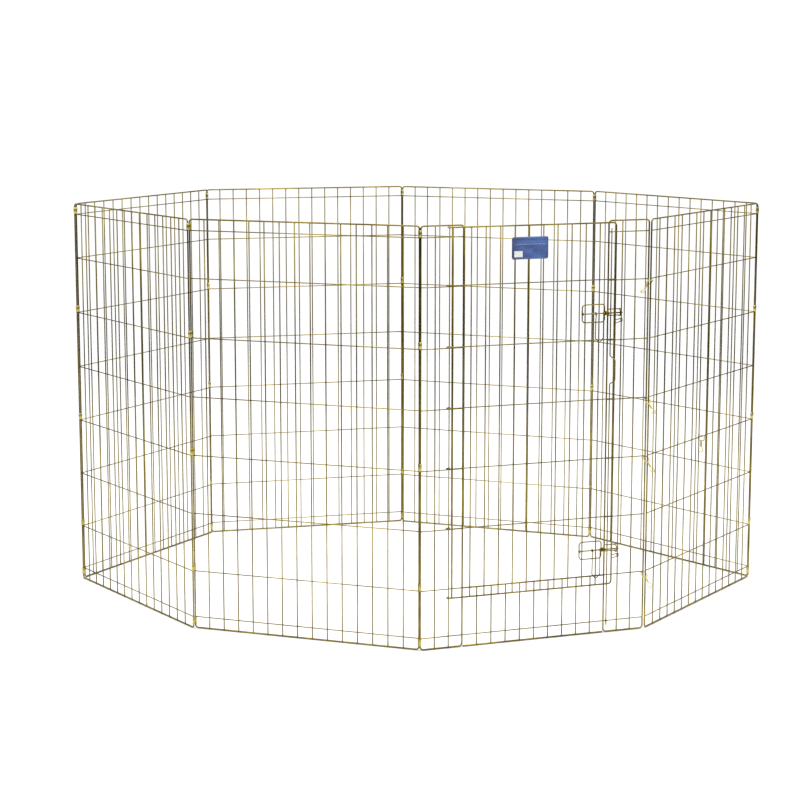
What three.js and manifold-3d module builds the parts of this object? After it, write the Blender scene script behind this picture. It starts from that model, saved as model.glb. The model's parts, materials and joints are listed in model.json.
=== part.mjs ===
// Eight-panel folding wire exercise pen with a hinged door, two slide-bolt latches and corner snaps.
// Millimetres, +Z up. The door panel lies along X and faces -Y. The origin is on the floor, under
// the middle of the pen's bounding box.
import * as THREE from "three";
import { mergeVertices } from "three/addons/utils/BufferGeometryUtils.js";
import Module from "manifold-3d";

const wasm = await Module();
wasm.setup();

// ---- driving dimensions ------------------------------------------------------------------------
const PANEL_WIDTH = 609.6; // between the axes of a panel's two edge rods
const PANEL_HEIGHT = 1066.8;
const ROW_PITCH = 152.4;
const ROWS = 6;
const RIM_GAP = 28.5; // from the top or bottom rod to the wire next to it
const BAYS = 15; // gaps between verticals across a plain panel
const ROD = 4.0; // frame rod diameter
const UPRIGHT = 2.7; // vertical wire diameter
const ROW_WIRE = 2.4; // horizontal wire diameter
const UPRIGHT_OUT = 1.65; // verticals lie just outside the panel's middle plane
const ROW_IN = -1.3; // horizontals lie just inside it
const BEND = 8; // bend radius of a frame corner, at the rod's axis
const WELD = 0.15; // how far two wires sink into each other where they are welded
const GAP = 0.3; // between pieces that touch
const WIRE_SIDES = 6;
const ROD_SIDES = 8;

// The plan: each panel's bearing, walking clockwise from the open corner. The last two close the ring.
const BEARINGS = [180, 143.1, 108.2, 40.7, -4.7, -38.2];
const CLOSING_GUESS = [-67, -144.5];
const NEWTON_STEPS = 12;
const HINGE_PITCH = 5.6; // between two edge rods inside a clip
// A clip grips one panel's last rod and the next panel turns in it. At a corner that folds inward the
// clip leans inward from the first panel's line, and at the others outward, so the pen folds up flat.
const CLIP_LEAN = { inward: -75, outward: 55 };
const OPEN_GAP = 8.5; // between the two edge rods that the corner snaps hold

const CLIP_WALL = 0.8;
const CLIP_HEIGHT = 17.6;
const CLIP_ARC_STEPS = 4;
const CLIP_ROWS = [5, 3, 1];

// The door panel is measured from its edge rod at the open corner.
const STILE_BAY = 37; // a stile has three bays, each narrower than a plain panel's
const STILE = 3 * STILE_BAY;
const HINGE_AT = PANEL_WIDTH - 2 * STILE_BAY; // the stile wire that the door hangs on
const SILL_HEIGHT = ROW_PITCH;
const SILL_BAYS = 10;
const DOOR_HINGE_ROD = 528.2;
const DOOR_LATCH_ROD = 93.1;
const DOOR_BAY = 38.1;
const DOOR_FIRST_UPRIGHT = 137.2;
const DOOR_UPRIGHTS = 10;
const DOOR_TOP = 1060;
const DOOR_BOTTOM = 130;
const DOOR_OUT = 5.5; // the door's rods, outside the panel's middle plane
const DOOR_ROW_OUT = 8.6; // its horizontals cross in front of its rods
const DOOR_ROW_LIFT = 3.3; // its hooks rest on the stile's horizontals
const HOOK = { wrap: 198, steps: 5 };
const LAP = 1; // how far a wire runs into the one it ends on

const LATCH_HEIGHTS = { upper: 833, lower: 223 };
const LATCH_WIRE = 3.0;
const GUIDE = { near: 123.6, far: 184.6, half: 22.5, bend: 8, out: 8.8 };
const EYE = { length: 13, inner: 2.2, outer: 4.4 };
const BOLT = { tip: 75.6, tail: 188.6, diameter: 3.4, out: 12.4 };
const HANDLE = { near: 127.6, far: 149.6, legs: 62, drop: 76, wire: 2.5, ring: 4.0, play: 0.4, bend: 3 };
const KEEPER = { at: 83.6, half: 8, out: 16, bend: 4 };

const LOCK_ROD = { at: 103.6, out: 1.7, diameter: 3.0, low: 20, high: 1046 };
const CRANK = { low: 659, high: 713, along: -9, out: 11.5, rise: 9, bend: 3 };
const LOCK_EYE = { inner: 1.9, outer: 3.9, height: 5 };

const CARD = { near: 278.6, far: 375.6, low: 976, high: 1032, thick: 1.0, out: 7.8 };

const SNAP_ROWS = [6, 4, 3, 1]; // each corner snap hangs just below one of these rows
const SNAP_BELOW = 9;
const SNAP = { wire: 2.6, across: 16.8, along: 14, bend: 1.6, leg: 1.6, shank: 18, loop: 14, tilt: 48 };
const THUMB = { half: 6, rise: 4 }; // half the thumb loop's width, and how far its sides slope out
const SPARE = { bay: 7.5, row: 3, play: 0.3 }; // it hangs from panel 8, in the middle of a bay

// ---- materials ---------------------------------------------------------------------------------
const zinc = new THREE.MeshStandardMaterial({ color: 0xa8924a, roughness: 0.34, metalness: 0.9 });
const clipZinc = new THREE.MeshStandardMaterial({ color: 0xb9a458, roughness: 0.3, metalness: 0.9 });
const cardStock = new THREE.MeshStandardMaterial({ color: 0x2f62a8, roughness: 0.5, metalness: 0 });

// ---- solids ------------------------------------------------------------------------------------
function solidOf(geometry) {
  const bare = geometry.clone();
  bare.deleteAttribute("normal");
  bare.deleteAttribute("uv");
  const merged = mergeVertices(bare, 1e-4);
  const vertProperties = new Float32Array(merged.attributes.position.array);
  const triVerts = new Uint32Array(merged.index.array);
  return new wasm.Manifold(new wasm.Mesh({ numProp: 3, vertProperties, triVerts }));
}

function geometryOf(solid) {
  const mesh = solid.getMesh();
  const geometry = new THREE.BufferGeometry();
  geometry.setAttribute("position", new THREE.BufferAttribute(new Float32Array(mesh.vertProperties), 3));
  geometry.setIndex(new THREE.BufferAttribute(new Uint32Array(mesh.triVerts), 1));
  geometry.computeVertexNormals();
  return geometry;
}

function joined(geometries) {
  return geometries.map(solidOf).reduce((whole, piece) => whole.add(piece));
}

// A regular polygon with a flat side facing each axis, as wide across its flats as the wire.
function section(diameter, sides) {
  const radius = diameter / 2 / Math.cos(Math.PI / sides);
  const corner = (i) => {
    const angle = ((i + 0.5) * 2 * Math.PI) / sides;
    return new THREE.Vector2(radius * Math.cos(angle), radius * Math.sin(angle));
  };
  return new THREE.Shape(Array.from({ length: sides }, (_, i) => corner(i)));
}

// The points of a route whose corners are rounded off in a few steps.
function rounded(corners, bend, arcSteps) {
  const points = [corners[0]];
  for (let i = 1; i < corners.length - 1; i++) {
    const back = corners[i - 1].clone().sub(corners[i]).normalize();
    const on = corners[i + 1].clone().sub(corners[i]).normalize();
    const half = back.angleTo(on) / 2;
    const arc = Math.PI - 2 * half;
    const reach = bend / Math.tan(half);
    const start = corners[i].clone().addScaledVector(back, reach);
    const end = corners[i].clone().addScaledVector(on, reach);
    const centre = corners[i].clone().addScaledVector(back.add(on).normalize(), bend / Math.sin(half));
    const first = start.sub(centre);
    const side = end.sub(centre).addScaledVector(first, -Math.cos(arc)).normalize();
    for (let step = 0; step <= arcSteps; step++) {
      const turn = (step / arcSteps) * arc;
      const spoke = first.clone().multiplyScalar(Math.cos(turn)).addScaledVector(side, bend * Math.sin(turn));
      points.push(centre.clone().add(spoke));
    }
  }
  points.push(corners[corners.length - 1]);
  return points;
}

// A wire's route through its stations, which all lie in one plane.
class WirePath extends THREE.Curve {
  constructor(stations, planeNormal) {
    super();
    this.stations = stations;
    this.planeNormal = planeNormal;
  }

  get steps() {
    return this.stations.length - 1;
  }

  getPoint(t) {
    return this.stations[Math.round(t * this.steps)].clone();
  }

  getSpacedPoints() {
    return this.stations.map((p) => p.clone());
  }

  // Each section stands square to the wire, stretched at a corner so that the wire keeps its width.
  computeFrenetFrames() {
    const runs = this.stations.slice(1).map((p, i) => p.clone().sub(this.stations[i]).normalize());
    const tangents = this.stations.map((_, i) => {
      const before = runs[Math.max(i - 1, 0)];
      const after = runs[Math.min(i, runs.length - 1)];
      return before.clone().add(after).normalize();
    });
    const normals = tangents.map((tangent, i) => {
      const run = runs[Math.min(i, runs.length - 1)];
      return this.planeNormal.clone().cross(tangent).normalize().divideScalar(tangent.dot(run));
    });
    const binormals = tangents.map(() => this.planeNormal.clone());
    return { tangents, normals, binormals };
  }
}

const X = new THREE.Vector3(1, 0, 0);
const Y = new THREE.Vector3(0, 1, 0);
const Z = new THREE.Vector3(0, 0, 1);
const at = (x, y, z) => new THREE.Vector3(x, y, z);
const radians = THREE.MathUtils.degToRad;

function sweep(path, diameter, sides = WIRE_SIDES) {
  const options = { steps: path.steps, bevelEnabled: false, extrudePath: path };
  return new THREE.ExtrudeGeometry(section(diameter, sides), options);
}

function wire(from, to, diameter, sides = WIRE_SIDES) {
  const along = to.clone().sub(from).normalize();
  const planeNormal = Math.abs(along.z) > Math.SQRT1_2 ? Y : Z;
  const square = along.clone().multiplyScalar(-along.dot(planeNormal)).add(planeNormal).normalize();
  return sweep(new WirePath([from, to], square), diameter, sides);
}

function bentWire(corners, bend, planeNormal, diameter, sides = WIRE_SIDES, arcSteps = 3) {
  return sweep(new WirePath(rounded(corners, bend, arcSteps), planeNormal), diameter, sides);
}

function outline(width, height, radius, arcSteps) {
  const points = [];
  const centres = [[1, 1], [-1, 1], [-1, -1], [1, -1]];
  centres.forEach(([side, up], quarter) => {
    for (let step = 0; step <= arcSteps; step++) {
      const angle = ((quarter + step / arcSteps) * Math.PI) / 2;
      points.push(new THREE.Vector2(
        side * (width / 2 - radius) + radius * Math.cos(angle),
        up * (height / 2 - radius) + radius * Math.sin(angle),
      ));
    }
  });
  return points;
}

// A closed rectangular loop of eight-sided rod, lying in XY about the origin: width and height are
// between the rod's axes, and the chamfers are the extrusion's bevels.
function rodLoop(width, height, bend, diameter, arcSteps = 3) {
  const chamfer = (diameter / 2) * (2 - Math.SQRT2);
  const half = diameter / 2 - chamfer;
  const shape = new THREE.Shape(outline(width + 2 * half, height + 2 * half, bend + half, arcSteps));
  shape.holes.push(new THREE.Path(outline(width - 2 * half, height - 2 * half, bend - half, arcSteps)));
  const loop = new THREE.ExtrudeGeometry(shape, {
    depth: 2 * half, steps: 1, bevelEnabled: true, bevelSegments: 1, bevelSize: chamfer,
    bevelThickness: chamfer,
  });
  return loop.translate(0, 0, -half);
}

// The same loop standing in a panel's plane, from one rod axis to the other.
function standingLoop(near, far, low, high, bend) {
  const loop = rodLoop(far - near, high - low, bend, ROD);
  return loop.rotateX(Math.PI / 2).translate((near + far) / 2, 0, (low + high) / 2);
}

// ---- panels ------------------------------------------------------------------------------------
// A panel's own frame: X along the panel, Y outward, Z up, origin on its first edge rod's axis.
const LOW_ROD = ROD / 2;
const HIGH_ROD = PANEL_HEIGHT - ROD / 2;
const rowHeights = Array.from({ length: ROWS }, (_, i) => (i + 1) * ROW_PITCH);
const allHeights = [LOW_ROD + RIM_GAP, ...rowHeights, HIGH_ROD - RIM_GAP];

const upright = (x, low, high, out = UPRIGHT_OUT) => wire(at(x, out, low), at(x, out, high), UPRIGHT);
const crossWire = (near, far, z, out = ROW_IN) => wire(at(near, out, z), at(far, out, z), ROW_WIRE);
const WELDED = UPRIGHT_OUT - (UPRIGHT + ROW_WIRE) / 2 + WELD; // a horizontal sunk into the verticals

function plainPanel() {
  const bay = PANEL_WIDTH / BAYS;
  const uprights = Array.from({ length: BAYS - 1 }, (_, i) => upright((i + 1) * bay, LOW_ROD, HIGH_ROD));
  const rows = allHeights.map((z) => crossWire(0, PANEL_WIDTH, z));
  const frame = standingLoop(0, PANEL_WIDTH, LOW_ROD, HIGH_ROD, BEND);
  return joined([frame, ...uprights, ...rows]);
}

function stile(near) {
  const far = near + STILE;
  const uprights = [1, 2].map((i) => upright(near + i * STILE_BAY, LOW_ROD, HIGH_ROD));
  const rows = allHeights.map((z) => crossWire(near, far, z));
  return joined([standingLoop(near, far, LOW_ROD, HIGH_ROD, BEND), ...uprights, ...rows]);
}

function sill() {
  const near = STILE + ROD / 2 + GAP;
  const far = PANEL_WIDTH - STILE - ROD / 2 - GAP;
  const rod = (z) => wire(at(near, 0, z), at(far, 0, z), ROD, ROD_SIDES);
  const bay = (PANEL_WIDTH - 2 * STILE) / SILL_BAYS;
  const uprights = Array.from({ length: SILL_BAYS - 1 }, (_, i) =>
    upright(STILE + (i + 1) * bay, LOW_ROD, SILL_HEIGHT));
  const rim = crossWire(near, far, LOW_ROD + RIM_GAP, WELDED);
  return joined([rod(LOW_ROD), rod(SILL_HEIGHT), rim, ...uprights]);
}

// A staple on the latch stile: its arms lie with the stile's horizontals, and its bridge stands out
// in front of the bolt's tip.
function keeper(z) {
  const arm = (level) => crossWire(2 * STILE_BAY, STILE, level);
  const low = z - KEEPER.half;
  const high = z + KEEPER.half;
  const bridge = bentWire([
    at(KEEPER.at, ROW_IN, low), at(KEEPER.at, KEEPER.out, low),
    at(KEEPER.at, KEEPER.out, high), at(KEEPER.at, ROW_IN, high),
  ], KEEPER.bend, X, ROW_WIRE, WIRE_SIDES, 2);
  return [arm(low), arm(high), bridge];
}

// A straight tube centred on the origin.
function tubeAround(axis, inner, outer, length, sides = ROD_SIDES) {
  const bar = (radius, half) =>
    solidOf(wire(axis.clone().multiplyScalar(-half), axis.clone().multiplyScalar(half), 2 * radius, sides));
  return bar(outer, length / 2).subtract(bar(inner, length));
}

function latchStile() {
  const staples = Object.values(LATCH_HEIGHTS).flatMap(keeper);
  let whole = stile(0).add(joined(staples));
  for (const z of [LOW_ROD + RIM_GAP, HIGH_ROD - RIM_GAP]) {
    const eye = tubeAround(Z, LOCK_EYE.inner, LOCK_EYE.outer, LOCK_EYE.height);
    whole = whole.add(eye.translate([LOCK_ROD.at, LOCK_ROD.out, z]));
  }
  return whole;
}

// ---- door --------------------------------------------------------------------------------------
// A hook that runs in from the door at the given distance out and wraps the hinge wire.
function hook(from, out, z, diameter, sides) {
  const reach = out - UPRIGHT_OUT;
  const points = [at(from, out, z)];
  for (let step = 0; step <= HOOK.steps; step++) {
    const angle = Math.PI / 2 - (step / HOOK.steps) * radians(HOOK.wrap);
    points.push(at(HINGE_AT + reach * Math.cos(angle), UPRIGHT_OUT + reach * Math.sin(angle), z));
  }
  return sweep(new WirePath(points, Z), diameter, sides);
}

function door() {
  const corner = (x, z) => at(x, DOOR_OUT, z);
  const frame = bentWire([
    corner(DOOR_HINGE_ROD - LAP, DOOR_TOP), corner(DOOR_LATCH_ROD, DOOR_TOP),
    corner(DOOR_LATCH_ROD, DOOR_BOTTOM), corner(DOOR_HINGE_ROD - LAP, DOOR_BOTTOM),
  ], BEND, Y, ROD, ROD_SIDES);
  const hingeRod = wire(
    corner(DOOR_HINGE_ROD, DOOR_BOTTOM), corner(DOOR_HINGE_ROD, DOOR_TOP), ROD, ROD_SIDES);
  const uprights = Array.from({ length: DOOR_UPRIGHTS }, (_, i) =>
    upright(DOOR_FIRST_UPRIGHT + i * DOOR_BAY, DOOR_BOTTOM, DOOR_TOP, DOOR_OUT));
  const rows = rowHeights.slice(1).map((z) =>
    hook(DOOR_LATCH_ROD, DOOR_ROW_OUT, z + DOOR_ROW_LIFT, ROW_WIRE, WIRE_SIDES));
  const ends = [DOOR_TOP, DOOR_BOTTOM].map((z) =>
    hook(DOOR_HINGE_ROD - 3 * LAP, DOOR_OUT, z, ROD, ROD_SIDES));
  return joined([frame, hingeRod, ...uprights, ...rows, ...ends]);
}

// ---- latches -----------------------------------------------------------------------------------
function guide(z) {
  const middle = (GUIDE.near + GUIDE.far) / 2;
  const loop = rodLoop(GUIDE.far - GUIDE.near, 2 * GUIDE.half, GUIDE.bend, LATCH_WIRE, 2);
  const eye = tubeAround(X, EYE.inner, EYE.outer, EYE.length);
  const seat = GUIDE.near - EYE.length / 2 + LATCH_WIRE / 2;
  return solidOf(loop.rotateX(Math.PI / 2).translate(middle, GUIDE.out, z))
    .add(eye.translate([seat, BOLT.out, z]));
}

const bolt = (z) => solidOf(wire(at(BOLT.tip, BOLT.out, z), at(BOLT.tail, BOLT.out, z), BOLT.diameter));

function handle(z) {
  const middle = (HANDLE.near + HANDLE.far) / 2;
  const top = z - HANDLE.ring + HANDLE.wire / 2;
  const bail = bentWire([
    at(HANDLE.near, BOLT.out, top), at(HANDLE.near, BOLT.out, z - HANDLE.legs),
    at(middle, BOLT.out, z - HANDLE.drop), at(HANDLE.far, BOLT.out, z - HANDLE.legs),
    at(HANDLE.far, BOLT.out, top),
  ], HANDLE.bend, Y, HANDLE.wire, WIRE_SIDES, 2);
  const bore = BOLT.diameter / 2 + HANDLE.play;
  const rings = [HANDLE.near, HANDLE.far].map((x) =>
    tubeAround(X, bore, HANDLE.ring, HANDLE.wire, WIRE_SIDES).translate([x, BOLT.out, z]));
  return rings.reduce((whole, ring) => whole.add(ring), solidOf(bail));
}

function lockRod() {
  const on = (z, crank = 0) => at(LOCK_ROD.at + crank * CRANK.along, LOCK_ROD.out + crank * CRANK.out, z);
  const across = Z.clone().cross(at(CRANK.along, CRANK.out, 0)).normalize();
  return solidOf(bentWire([
    on(LOCK_ROD.low), on(CRANK.low - CRANK.rise), on(CRANK.low, 1), on(CRANK.high, 1),
    on(CRANK.high + CRANK.rise), on(LOCK_ROD.high),
  ], CRANK.bend, across, LOCK_ROD.diameter, WIRE_SIDES, 2));
}

// ---- small parts -------------------------------------------------------------------------------
// A band of sheet steel closed around two edge rods, centred between them with X across.
function clip() {
  const stadium = (radius) => {
    const points = [];
    for (const side of [1, -1]) {
      for (let step = 0; step <= CLIP_ARC_STEPS; step++) {
        const angle = (step / CLIP_ARC_STEPS) * Math.PI - (side * Math.PI) / 2;
        points.push(new THREE.Vector2(
          (side * HINGE_PITCH) / 2 + radius * Math.cos(angle), radius * Math.sin(angle)));
      }
    }
    return points;
  };
  const inner = ROD / 2 / Math.cos(Math.PI / 8) + GAP;
  const shape = new THREE.Shape(stadium(inner + CLIP_WALL));
  shape.holes.push(new THREE.Path(stadium(inner)));
  return new THREE.ExtrudeGeometry(shape, { depth: CLIP_HEIGHT, steps: 1, bevelEnabled: false });
}

function card() {
  const box = new THREE.BoxGeometry(CARD.far - CARD.near, CARD.thick, CARD.high - CARD.low);
  return box.translate((CARD.near + CARD.far) / 2, CARD.out, (CARD.low + CARD.high) / 2);
}

// A wire snap, one wire bent flat in XY: an eye about the origin that holds the rods, two legs side
// by side along +Y, and a thumb loop that stops short of the first leg.
function snap() {
  const side = SNAP.across / 2;
  const end = SNAP.along / 2;
  const foot = end + SNAP.shank;
  const tip = foot + SNAP.loop;
  const corners = [
    [SNAP.leg, foot], [SNAP.leg, end], [side, end], [side, -end], [-side, -end], [-side, end],
    [-SNAP.leg, end], [-SNAP.leg, foot], [-THUMB.half, foot + THUMB.rise], [-THUMB.half, tip],
    [THUMB.half, tip], [THUMB.half, foot + THUMB.rise],
  ];
  const route = corners.map(([x, y]) => at(x, y, 0));
  return solidOf(bentWire(route, SNAP.bend, Z, SNAP.wire, WIRE_SIDES, 2));
}

// ---- plan --------------------------------------------------------------------------------------
const heading = (degrees) => new THREE.Vector2(Math.cos(radians(degrees)), Math.sin(radians(degrees)));

// The corners fold inward and outward in turn, so the pen folds like a screen.
const clipBearing = (bearings, i) => bearings[i] + (i % 2 === 0 ? CLIP_LEAN.inward : CLIP_LEAN.outward);
const openBearing = (bearings) => (bearings[bearings.length - 1] + bearings[0] - 360) / 2;

// Each panel's first rod, going round the ring, and last the point where the ring should close.
function walk(bearings) {
  const starts = [new THREE.Vector2(0, 0)];
  for (let i = 0; i < bearings.length; i++) {
    const end = starts[i].clone().addScaledVector(heading(bearings[i]), PANEL_WIDTH);
    const atOpenCorner = i === bearings.length - 1;
    const link = heading(atOpenCorner ? openBearing(bearings) : clipBearing(bearings, i));
    starts.push(end.addScaledVector(link, atOpenCorner ? OPEN_GAP : HINGE_PITCH));
  }
  return starts;
}

// The last two bearings that bring panel 8 back beside panel 1's first rod, found by Newton's method.
function closingBearings() {
  const miss = (pair) => walk([...BEARINGS, ...pair])[BEARINGS.length + 2];
  const nudge = 0.01;
  let pair = CLOSING_GUESS;
  for (let step = 0; step < NEWTON_STEPS; step++) {
    const here = miss(pair);
    const first = miss([pair[0] + nudge, pair[1]]).sub(here).divideScalar(nudge);
    const second = miss([pair[0], pair[1] + nudge]).sub(here).divideScalar(nudge);
    const area = first.cross(second);
    pair = [pair[0] - here.cross(second) / area, pair[1] - first.cross(here) / area];
  }
  return pair;
}

const bearings = [...BEARINGS, ...closingBearings()];
const starts = walk(bearings).slice(0, -1);

// ---- assembly ----------------------------------------------------------------------------------
const pen = new THREE.Group();

function addMesh(parent, name, geometry, material) {
  const mesh = new THREE.Mesh(geometry, material);
  mesh.name = name;
  parent.add(mesh);
  return mesh;
}

const panelGroups = starts.map((start, i) => {
  const group = new THREE.Group();
  group.position.set(start.x, start.y, 0);
  group.rotation.z = radians(bearings[i]);
  pen.add(group);
  return group;
});

const doorPanel = panelGroups[0];
addMesh(doorPanel, "panel_1_latch_stile", geometryOf(latchStile()), zinc);
addMesh(doorPanel, "panel_1_hinge_stile", geometryOf(stile(PANEL_WIDTH - STILE)), zinc);
addMesh(doorPanel, "panel_1_sill", geometryOf(sill()), zinc);
addMesh(doorPanel, "door", geometryOf(door()), zinc);
addMesh(doorPanel, "lock_rod", geometryOf(lockRod()), zinc);
addMesh(doorPanel, "tag_card", card(), cardStock);
for (const [which, z] of Object.entries(LATCH_HEIGHTS)) {
  addMesh(doorPanel, `${which}_latch_guide`, geometryOf(guide(z)), zinc);
  addMesh(doorPanel, `${which}_latch_bolt`, geometryOf(bolt(z)), zinc);
  addMesh(doorPanel, `${which}_latch_handle`, geometryOf(handle(z)), zinc);
}

const panelGeometry = geometryOf(plainPanel());
panelGroups.slice(1).forEach((group, i) => addMesh(group, `panel_${i + 2}`, panelGeometry, zinc));

// Each clip stands on a horizontal, apart from the lowest, which is under the lower rim wire.
const clipGeometry = clip();
const clipSeat = ROW_WIRE / 2 + GAP;
const clipHeights = [
  HIGH_ROD - RIM_GAP + clipSeat,
  ...CLIP_ROWS.map((row) => row * ROW_PITCH + clipSeat),
  LOW_ROD + RIM_GAP - clipSeat - CLIP_HEIGHT,
];
for (let i = 0; i < panelGroups.length - 1; i++) {
  const end = starts[i].clone().addScaledVector(heading(bearings[i]), PANEL_WIDTH);
  const middle = end.add(starts[i + 1]).divideScalar(2);
  const corner = new THREE.Group();
  corner.position.set(middle.x, middle.y, 0);
  corner.rotation.z = radians(clipBearing(bearings, i));
  pen.add(corner);
  clipHeights.forEach((z, row) => {
    addMesh(corner, `corner_${i + 1}_clip_${row + 1}`, clipGeometry, clipZinc).position.z = z;
  });
}

// The corner snaps hold panel 8's last rod to panel 1's first. The top one hangs inward.
const snapGeometry = geometryOf(snap());
const lastRod = starts[7].clone().addScaledVector(heading(bearings[7]), PANEL_WIDTH);
const openCorner = new THREE.Group();
openCorner.position.set((lastRod.x + starts[0].x) / 2, (lastRod.y + starts[0].y) / 2, 0);
openCorner.rotation.z = radians(openBearing(bearings));
pen.add(openCorner);
SNAP_ROWS.forEach((row, i) => {
  const mesh = addMesh(openCorner, `corner_snap_${i + 1}`, snapGeometry, clipZinc);
  mesh.position.z = row * ROW_PITCH - SNAP_BELOW;
  mesh.rotation.set(-radians(SNAP.tilt), 0, i === 0 ? Math.PI : 0, "ZYX");
});

// The spare snap hangs by its eye from a horizontal of panel 8.
const spare = addMesh(panelGroups[7], "spare_snap", snapGeometry, clipZinc);
const spareDrop = SNAP.along / 2 - (SNAP.wire + ROW_WIRE) / 2 - GAP - SPARE.play;
spare.position.set((SPARE.bay * PANEL_WIDTH) / BAYS, ROW_IN, SPARE.row * ROW_PITCH - spareDrop);
spare.rotation.set(0, Math.PI / 2, -Math.PI / 2, "YZX");

// Stand the pen on the floor, with the origin under the middle of its bounding box.
pen.updateMatrixWorld(true);
const box = new THREE.Box3().setFromObject(pen);
pen.position.set(-(box.min.x + box.max.x) / 2, -(box.min.y + box.max.y) / 2, 0);

export default pen;
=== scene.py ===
"""A folding wire exercise pen in gold zinc plate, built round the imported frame.

Every wire of the pen is swept again here as round drawn wire with welds, curls and coils. Each panel
is drawn in its own frame, in millimetres: X along the panel, Y outward, Z up, with the origin on the
floor under its first edge rod.
"""

import json
import math

import bpy
from mathutils import Matrix, Vector


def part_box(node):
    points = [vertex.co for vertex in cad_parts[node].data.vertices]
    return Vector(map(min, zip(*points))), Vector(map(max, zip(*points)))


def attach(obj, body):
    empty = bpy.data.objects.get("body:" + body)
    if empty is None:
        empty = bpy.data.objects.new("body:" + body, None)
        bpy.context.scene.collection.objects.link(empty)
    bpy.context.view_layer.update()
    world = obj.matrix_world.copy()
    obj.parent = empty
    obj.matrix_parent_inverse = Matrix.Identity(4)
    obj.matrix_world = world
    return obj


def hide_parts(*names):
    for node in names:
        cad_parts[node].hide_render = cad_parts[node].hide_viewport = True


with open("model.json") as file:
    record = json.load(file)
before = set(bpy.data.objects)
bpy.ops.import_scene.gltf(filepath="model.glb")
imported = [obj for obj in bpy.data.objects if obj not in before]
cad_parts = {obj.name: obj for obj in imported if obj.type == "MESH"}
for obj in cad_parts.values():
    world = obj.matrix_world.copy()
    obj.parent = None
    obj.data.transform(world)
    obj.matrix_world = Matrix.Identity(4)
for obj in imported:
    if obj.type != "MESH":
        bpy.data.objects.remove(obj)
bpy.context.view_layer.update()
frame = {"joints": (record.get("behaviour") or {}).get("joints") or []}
JOINTS = {joint["name"]: joint for joint in frame["joints"]}
MM = 0.001
UP = Vector((0, 0, 1))
BACK = Vector((0, -1, 0))
ALONG = Vector((1, 0, 0))

# ---- sizes, in millimetres -----------------------------------------------------------------------
PANEL_WIDTH = 609.6
PANEL_HEIGHT = 1066.8
ROW_PITCH = 152.4
ROWS = 6
RIM_GAP = 28.5
BAYS = 15
BAY = PANEL_WIDTH / BAYS
ROD = 2.0  # this and the next three are wire radii
UPRIGHT = 1.55
HINGE_UPRIGHT = 1.35  # the stile wire that the door curls round
ROW_WIRE = 1.38
UPRIGHT_OUT = 1.65
ROW_OUT = -0.75
BEND = 8.0
LOW_ROD = ROD
HIGH_ROD = PANEL_HEIGHT - ROD
ROW_HEIGHTS = [(i + 1) * ROW_PITCH for i in range(ROWS)]
ALL_HEIGHTS = [LOW_ROD + RIM_GAP, *ROW_HEIGHTS, HIGH_ROD - RIM_GAP]

STILE_BAY = 37.0
STILE = 3 * STILE_BAY
HINGE_AT = PANEL_WIDTH - 2 * STILE_BAY
SILL_HEIGHT = ROW_PITCH
SILL_BAYS = 10
SILL_GAP = 0.1  # between a sill rod's end and the stile's rod
DOOR_HINGE_ROD = 528.2
DOOR_LATCH_ROD = 93.1
DOOR_FIRST_UPRIGHT = 137.2
DOOR_BAY = 38.1
DOOR_UPRIGHTS = 10
DOOR_TOP = 1060.0
DOOR_BOTTOM = 130.0
DOOR_OUT = 5.5
DOOR_ROW_OUT = 8.2
DOOR_ROW_LIFT = 3.3
HOOK_WRAP = math.radians(235)

LATCH_HEIGHTS = {"upper": 833.0, "lower": 223.0}
ROW_REACH = 1.3  # how far a horizontal runs past the middle of an edge rod
SINK = 1.0  # how far an upright's cut end runs past the rod that it is welded to
ROD_SIDES = 16
ROD_SEAT = 0.6  # from a rod weld's middle to the middle of its upright
END_SEAT = 0.35  # from a horizontal's middle to the middle of the weld at its end
CROSS_BEAD = (1.55, 0.85, 1.5)  # the beads' half widths across, out and up
ROD_BEAD = (1.75, 1.1, 1.6)
END_BEAD = (1.5, 1.0, 1.5)
DOOR_END_BEAD = (1.7, 1.1, 1.5)
DOOR_ROD_BEAD = (1.75, 1.5, 2.2)
DOOR_CORNER_BEAD = (2.5, 2.15, 2.3)
SILL_LOW_BEAD = (0.9, 1.95, 1.95)
SILL_HIGH_BEAD = (0.9, 2.0, 2.0)
GUIDE_BEAD = (1.6, 0.9, 1.6)
KNOB_BEAD = (1.2, 2.4, 2.4)
TIE_BEAD = (1.5, 0.9, 1.2)
GUIDE = {"near": 123.6, "far": 184.6, "half": 22.5, "bend": 8.0, "out": 8.8, "wire": 1.5, "seat": 7.1}
COIL = {"near": 112.3, "far": 124.6, "turns": 4.0, "radius": 4.35, "wire": 1.2, "out": 11.6}
RING = {"radius": 3.35, "wire": 1.08, "length": 0.6}
BOLT = {"tip": 75.6, "tail": 188.6, "radius": 1.7, "out": 12.4}
HANDLE = {"near": 127.6, "far": 149.6, "legs": 62.0, "drop": 76.0, "wire": 1.25,
          "ring": 3.35, "ring_wire": 1.1, "length": 2.3, "turns": 1.2, "shoulder": 12.0, "bend": 4.0}
KEEPER = {"at": 83.6, "half": 8.0, "out": 16.0, "bend": 4.0}
STOP = {"below": 21.0, "wire": 1.15, "reach": 1.25, "length": 8.0, "turns": 2.0}
LOCK_ROD = {"at": 103.6, "out": 1.7, "radius": 1.5, "low": 20.0, "high": 1046.0}
LOCK_EYE = {"radius": 2.85, "length": 2.6, "turns": 1.25, "wire": 0.95}
CRANK = {"low": 659.0, "high": 713.0, "along": -9.0, "out": 11.5, "rise": 9.0, "bend": 5.0}
CARD = {"near": 278.6, "far": 375.6, "low": 976.0, "high": 1032.0, "out": 7.45, "thick": 0.45,
        "round": 3.0}
TIE_LOOP = {"half": 2.6, "back": 3.4, "front": 9.2, "bend": 1.6, "wire": 0.55, "below": 5.0}
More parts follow.
